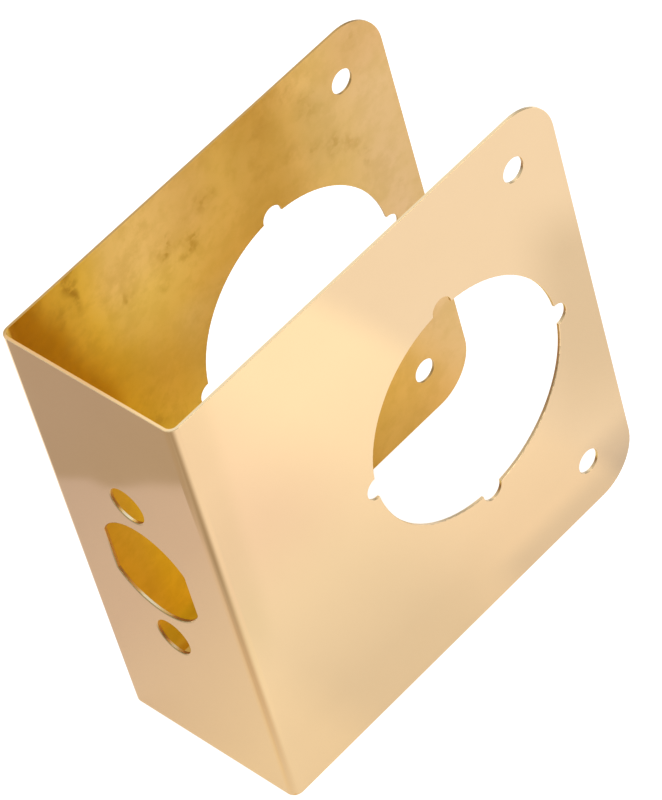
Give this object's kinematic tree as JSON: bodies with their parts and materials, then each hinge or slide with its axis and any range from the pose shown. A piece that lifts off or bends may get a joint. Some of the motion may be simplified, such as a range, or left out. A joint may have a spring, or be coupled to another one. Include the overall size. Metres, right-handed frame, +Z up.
{
  "type": "door reinforcer plate",
  "caption": "Brass sheet folded to a U that wraps the lock edge of a door, with a notched lock bore through its leaves, a latch opening in its web and screw holes.",
  "frame": {"origin": "on the axis of the lock bore, halfway between the leaves", "axes": "+Y along the bore axis, across the door's thickness; +X from the door edge into the door; +Z up the door edge"},
  "size_m": [0.1087, 0.0484, 0.1142],
  "materials": {
    "brass": "polished on the outer faces, duller and stained on the inner faces"
  },
  "bodies": {
    "root": {"wrap_plate": "brass"}
  },
  "joints": []
}
